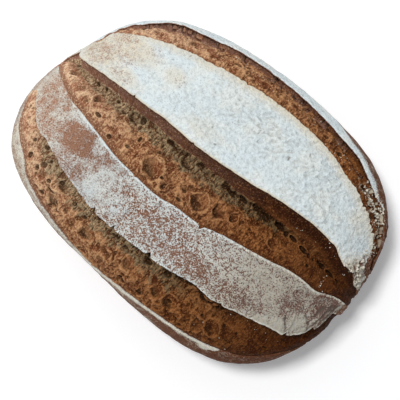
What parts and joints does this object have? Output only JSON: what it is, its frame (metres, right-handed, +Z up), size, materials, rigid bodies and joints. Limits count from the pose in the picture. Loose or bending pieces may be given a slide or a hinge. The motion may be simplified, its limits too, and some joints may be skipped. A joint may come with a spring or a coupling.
{
  "type": "rye bread loaf",
  "caption": "Oval hearth-baked rye bread loaf on a flat base, floured bands of crust parted by long lengthwise slashes that have burst open to browned crumb.",
  "frame": {"origin": "middle of the loaf's bounding box, on the surface that it rests on", "axes": "+X along the loaf towards its fuller end, +Y across it towards the far slash, +Z up"},
  "size_m": [0.2606, 0.1876, 0.0924],
  "materials": {
    "crust": "baked rye crust, matt, dusted with white rye flour along its bands and browned on its sides and base",
    "crumb": "burst crumb browned in the oven, matt, coarse, with pits and torn strands",
    "flour": "loose white rye flour, matt"
  },
  "bodies": {
    "root": {"loaf": "crust"}
  },
  "joints": []
}
